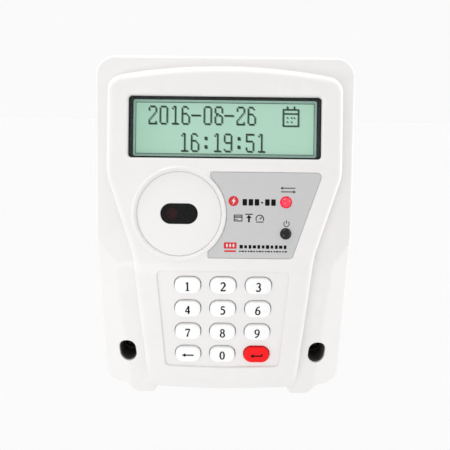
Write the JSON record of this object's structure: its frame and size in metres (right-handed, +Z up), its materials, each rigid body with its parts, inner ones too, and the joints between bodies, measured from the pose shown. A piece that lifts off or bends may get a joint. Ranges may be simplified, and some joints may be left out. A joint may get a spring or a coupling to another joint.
{
  "type": "prepaid electricity meter reader unit",
  "caption": "Wall-mounted prepaid electricity meter reader: white case with a raised face, text display, round reader port, status lamp, off button and a rubber keypad.",
  "frame": {"origin": "middle of the flat back face that rests on the wall, halfway between the top edge and the tips of the feet", "axes": "+Z up the wall, -Y out of the face towards the user, +X to the right as seen from the front"},
  "size_m": [0.1226, 0.0435, 0.1654],
  "materials": {
    "cover": "fine satin moulding",
    "housing": "fine satin moulding",
    "seal": "matt",
    "screw": "zinc plated",
    "window": "clear polished",
    "bezel": "satin black",
    "lcd": "polarised film",
    "backlight": "satin",
    "board": "solder mask",
    "black_part": "matt",
    "smoked": "tinted polished",
    "ir_lens": "polished",
    "photo_lens": "polished",
    "legend": "satin film",
    "red_lens": "polished",
    "black_gloss": "polished",
    "mat": "matt silicone",
    "key": "matt silicone",
    "red_key": "matt silicone",
    "can": "bright",
    "ribbon": "satin",
    "winding": "taped",
    "sleeve": "shrink sleeve",
    "ceramic": "glazed",
    "terminal": "matt",
    "brass": "plain"
  },
  "bodies": {
    "case": {"front_cover": "cover", "rear_housing": "housing", "case_seal": "seal", "cover_screw_left": "screw", "cover_screw_right": "screw", "lcd_window": "window", "lcd_bezel": "bezel", "lcd_glass": "lcd", "lcd_backlight": "backlight", "lcd_board": "board", "lcd_header": "black_part", "reader_disc": "cover", "reader_window": "smoked", "optic_holder": "black_part", "infrared_led": "ir_lens", "phototransistor": "photo_lens", "label_plate": "legend", "comm_led": "red_lens", "off_switch": "black_part", "keypad_mat": "mat", "keypad_board": "board", "main_board": "board", "microcontroller": "black_part", "memory_chip": "black_part", "clock_crystal": "can", "buzzer": "black_part", "battery_holder": "black_part", "clock_battery": "can", "keypad_ribbon": "ribbon", "supply_board": "board", "transformer": "winding", "capacitor": "sleeve", "fuse": "ceramic", "terminal_block": "terminal", "cable_grommet": "seal", "main_screw_1": "screw", "supply_screw_1": "screw", "main_screw_2": "screw", "supply_screw_2": "screw", "main_screw_3": "screw", "supply_screw_3": "screw", "main_screw_4": "screw", "supply_screw_4": "screw", "terminal_screw_1": "brass", "terminal_screw_2": "brass", "terminal_screw_3": "brass"},
    "key_1": {"key_1": "key"},
    "key_2": {"key_2": "key"},
    "key_3": {"key_3": "key"},
    "key_4": {"key_4": "key"},
    "key_5": {"key_5": "key"},
    "key_6": {"key_6": "key"},
    "key_7": {"key_7": "key"},
    "key_8": {"key_8": "key"},
    "key_9": {"key_9": "key"},
    "key_clear": {"key_clear": "key"},
    "key_0": {"key_0": "key"},
    "key_enter": {"key_enter": "red_key"},
    "off_button": {"off_button": "black_gloss"}
  },
  "joints": [
    {"name": "key_1_press", "type": "slide", "parent": "case", "child": "key_1", "axis": [0, 0.989, 0.1478], "range_m": [0, 0.001], "stiffness_N_per_m": 600, "springref_m": -0.0005},
    {"name": "key_2_press", "type": "slide", "parent": "case", "child": "key_2", "axis": [0, 0.989, 0.1478], "range_m": [0, 0.001], "stiffness_N_per_m": 600, "springref_m": -0.0005},
    {"name": "key_3_press", "type": "slide", "parent": "case", "child": "key_3", "axis": [0, 0.989, 0.1478], "range_m": [0, 0.001], "stiffness_N_per_m": 600, "springref_m": -0.0005},
    {"name": "key_4_press", "type": "slide", "parent": "case", "child": "key_4", "axis": [0, 0.989, 0.1478], "range_m": [0, 0.001], "stiffness_N_per_m": 600, "springref_m": -0.0005},
    {"name": "key_5_press", "type": "slide", "parent": "case", "child": "key_5", "axis": [0, 0.989, 0.1478], "range_m": [0, 0.001], "stiffness_N_per_m": 600, "springref_m": -0.0005},
    {"name": "key_6_press", "type": "slide", "parent": "case", "child": "key_6", "axis": [0, 0.989, 0.1478], "range_m": [0, 0.001], "stiffness_N_per_m": 600, "springref_m": -0.0005},
    {"name": "key_7_press", "type": "slide", "parent": "case", "child": "key_7", "axis": [0, 0.989, 0.1478], "range_m": [0, 0.001], "stiffness_N_per_m": 600, "springref_m": -0.0005},
    {"name": "key_8_press", "type": "slide", "parent": "case", "child": "key_8", "axis": [0, 0.989, 0.1478], "range_m": [0, 0.001], "stiffness_N_per_m": 600, "springref_m": -0.0005},
    {"name": "key_9_press", "type": "slide", "parent": "case", "child": "key_9", "axis": [0, 0.989, 0.1478], "range_m": [0, 0.001], "stiffness_N_per_m": 600, "springref_m": -0.0005},
    {"name": "key_clear_press", "type": "slide", "parent": "case", "child": "key_clear", "axis": [0, 0.989, 0.1478], "range_m": [0, 0.001], "stiffness_N_per_m": 600, "springref_m": -0.0005},
    {"name": "key_0_press", "type": "slide", "parent": "case", "child": "key_0", "axis": [0, 0.989, 0.1478], "range_m": [0, 0.001], "stiffness_N_per_m": 600, "springref_m": -0.0005},
    {"name": "key_enter_press", "type": "slide", "parent": "case", "child": "key_enter", "axis": [0, 0.989, 0.1478], "range_m": [0, 0.001], "stiffness_N_per_m": 600, "springref_m": -0.0005},
    {"name": "off_button_press", "type": "slide", "parent": "case", "child": "off_button", "axis": [0, 0.9848, -0.1736], "range_m": [0, 0.001], "stiffness_N_per_m": 800, "springref_m": -0.0005}
  ]
}
